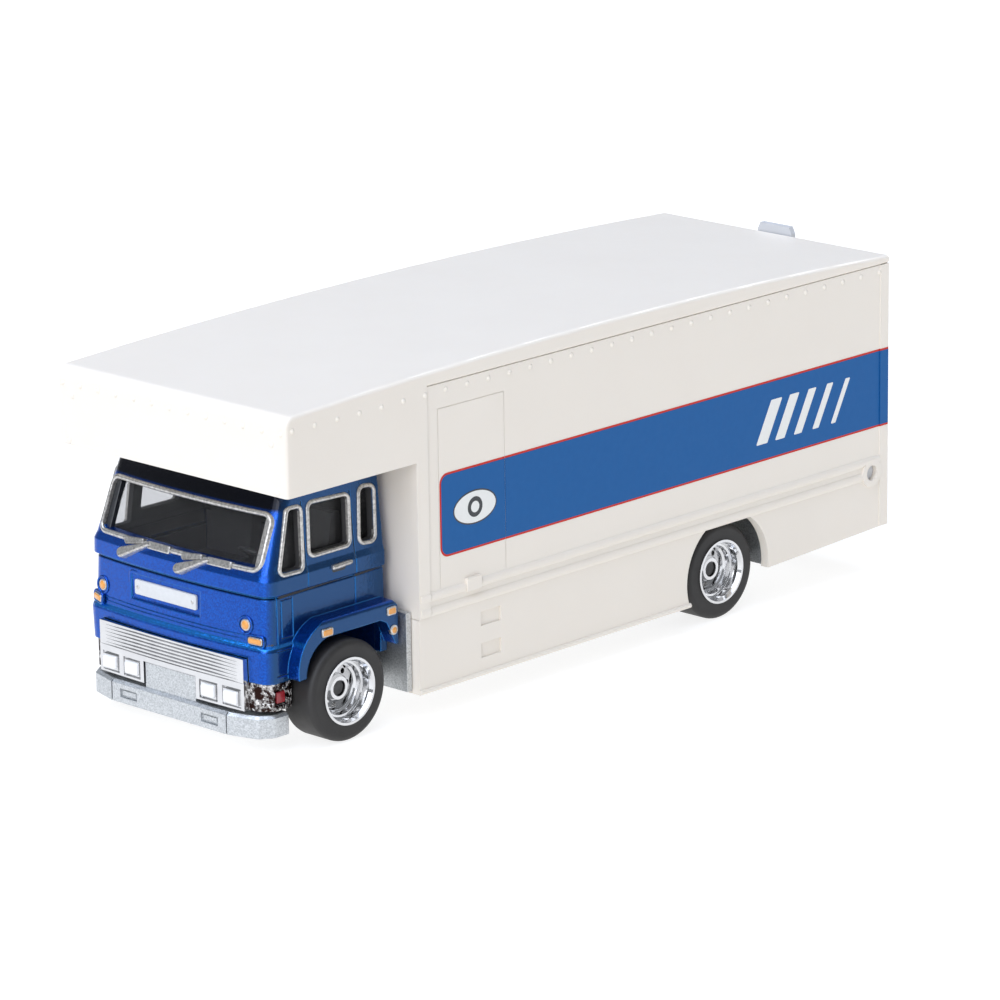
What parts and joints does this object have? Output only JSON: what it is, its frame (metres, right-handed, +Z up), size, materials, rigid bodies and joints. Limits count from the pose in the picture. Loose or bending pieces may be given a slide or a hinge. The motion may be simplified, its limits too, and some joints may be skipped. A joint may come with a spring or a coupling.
{
  "type": "toy box truck",
  "caption": "Small die-cast cab-over box truck with an overhanging nose, rolling wheels, a hollow cargo bay and a rear ramp that folds down.",
  "frame": {"origin": "centre of the bounding box on the ground", "axes": "+X to the truck's left, -Y forwards, +Z up"},
  "size_m": [0.0396, 0.1096, 0.0428],
  "materials": {
    "white_plastic": "moulded, satin gloss",
    "deck_plastic": "moulded",
    "ramp_plastic": "moulded, satin gloss",
    "cab_paint": "candy metallic gloss",
    "tinted_glass": "smoke-tinted clear plastic",
    "interior_plastic": "matt",
    "bright_plating": "vacuum plated",
    "bare_casting": "tumbled bare casting",
    "steel": "plain",
    "tyre_rubber": "soft rubber",
    "trim_paint": "silver trim paint",
    "lamp_amber": "amber lamp paint",
    "lamp_red": "red lamp paint",
    "stripe_blue": "printed stripe",
    "stripe_red": "printed edge line",
    "badge_white": "printed mark"
  },
  "bodies": {
    "truck": {"roof_cap": "white_plastic", "box_body": "white_plastic", "cargo_deck": "deck_plastic", "cab_shell": "cab_paint", "cab_glazing": "tinted_glass", "cab_interior": "interior_plastic", "grille_insert": "bright_plating", "chassis": "bare_casting", "chassis_rivets": "bare_casting", "front_axle": "steel", "rear_axle": "steel"},
    "ramp": {"rear_ramp": "ramp_plastic"},
    "wheel_front_left": {"rim_front_left": "bright_plating", "tyre_front_left": "tyre_rubber"},
    "wheel_rear_left": {"rim_rear_left": "bright_plating", "tyre_rear_left": "tyre_rubber"},
    "wheel_front_right": {"rim_front_right": "bright_plating", "tyre_front_right": "tyre_rubber"},
    "wheel_rear_right": {"rim_rear_right": "bright_plating", "tyre_rear_right": "tyre_rubber"}
  },
  "joints": [
    {"name": "ramp_hinge", "type": "hinge", "parent": "truck", "child": "ramp", "pos_m": [0, 0.05053, 0.0135], "axis": [-1, 0, 0], "range_deg": [0, 108]},
    {"name": "wheel_front_left_spin", "type": "hinge", "parent": "truck", "child": "wheel_front_left", "pos_m": [0.0155, -0.04267, 0.00616], "axis": [1, 0, 0], "continuous": true},
    {"name": "wheel_rear_left_spin", "type": "hinge", "parent": "truck", "child": "wheel_rear_left", "pos_m": [0.0155, 0.02283, 0.00616], "axis": [1, 0, 0], "continuous": true},
    {"name": "wheel_front_right_spin", "type": "hinge", "parent": "truck", "child": "wheel_front_right", "pos_m": [-0.0155, -0.04267, 0.00616], "axis": [1, 0, 0], "continuous": true},
    {"name": "wheel_rear_right_spin", "type": "hinge", "parent": "truck", "child": "wheel_rear_right", "pos_m": [-0.0155, 0.02283, 0.00616], "axis": [1, 0, 0], "continuous": true}
  ]
}
